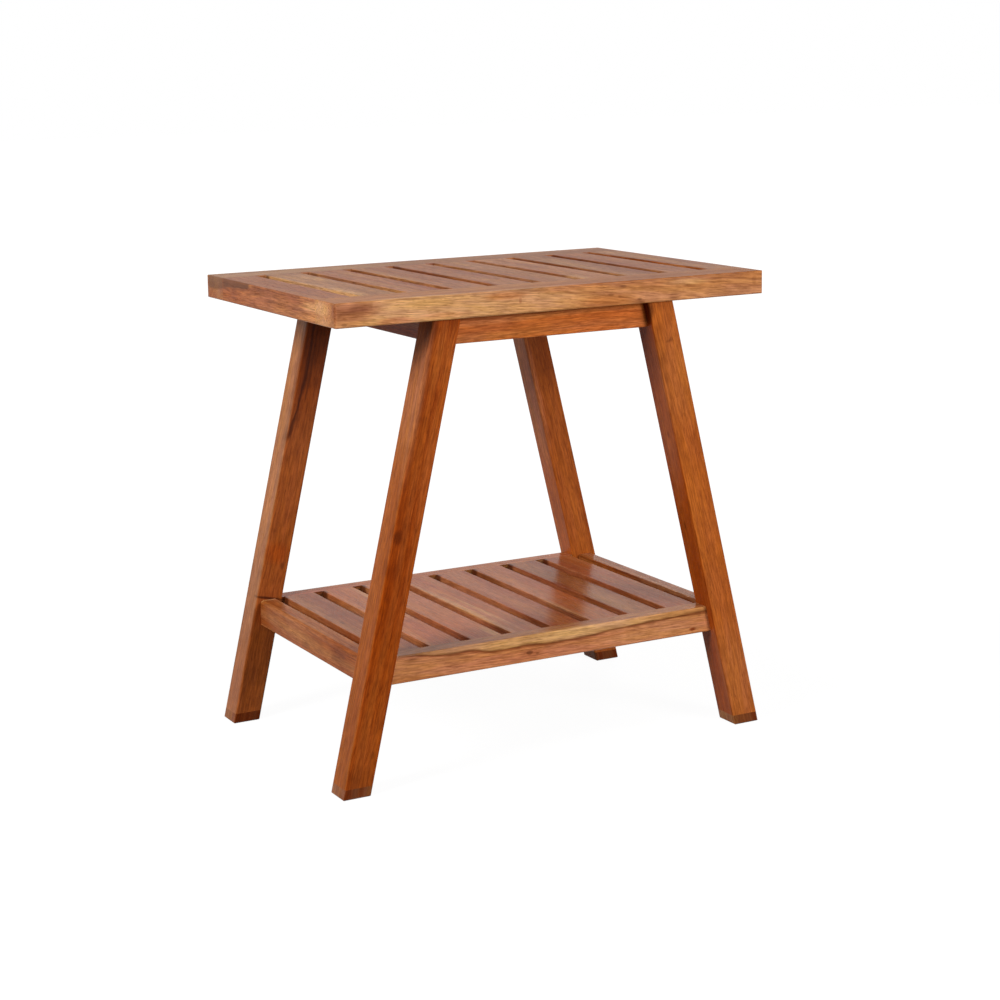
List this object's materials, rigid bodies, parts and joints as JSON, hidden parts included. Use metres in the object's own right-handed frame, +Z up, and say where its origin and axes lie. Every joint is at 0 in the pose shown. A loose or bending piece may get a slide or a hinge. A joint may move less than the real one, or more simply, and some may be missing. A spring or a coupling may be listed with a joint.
{
  "type": "bath bench",
  "caption": "Slatted wooden bath bench with a flat seat, legs splayed along its length and a slatted lower shelf.",
  "frame": {"origin": "centre of the footprint, on the floor", "axes": "+X along the bench to the right as seen from the front, +Y to the back, +Z up"},
  "size_m": [0.4618, 0.305, 0.457],
  "materials": {
    "golden_wood": "satin",
    "red_wood": "satin",
    "orange_wood": "satin",
    "brown_wood": "satin",
    "tan_wood": "satin",
    "pale_wood": "plain",
    "dark_foot": "satin",
    "steel": "zinc plated"
  },
  "bodies": {
    "root": {"seat_front_rail": "golden_wood", "seat_back_rail": "brown_wood", "seat_end_left": "red_wood", "seat_end_right": "brown_wood", "seat_slat_1": "brown_wood", "seat_slat_2": "tan_wood", "seat_slat_3": "brown_wood", "seat_slat_4": "tan_wood", "seat_slat_5": "brown_wood", "seat_slat_6": "tan_wood", "seat_slat_7": "brown_wood", "seat_slat_8": "tan_wood", "seat_dowels": "pale_wood", "seat_screws": "steel", "leg_front_left": "red_wood", "leg_front_right": "orange_wood", "leg_back_left": "red_wood", "leg_back_right": "orange_wood", "foot_pad_front_left": "dark_foot", "foot_pad_front_right": "dark_foot", "foot_pad_back_left": "dark_foot", "foot_pad_back_right": "dark_foot", "apron_front": "orange_wood", "apron_back": "red_wood", "apron_left": "red_wood", "apron_right": "red_wood", "shelf_front_rail": "golden_wood", "shelf_back_rail": "brown_wood", "stretcher_left": "orange_wood", "stretcher_right": "brown_wood", "shelf_slat_1": "brown_wood", "shelf_slat_2": "tan_wood", "shelf_slat_3": "brown_wood", "shelf_slat_4": "tan_wood", "shelf_slat_5": "brown_wood", "shelf_slat_6": "tan_wood", "shelf_slat_7": "brown_wood", "shelf_slat_8": "tan_wood"}
  },
  "joints": []
}
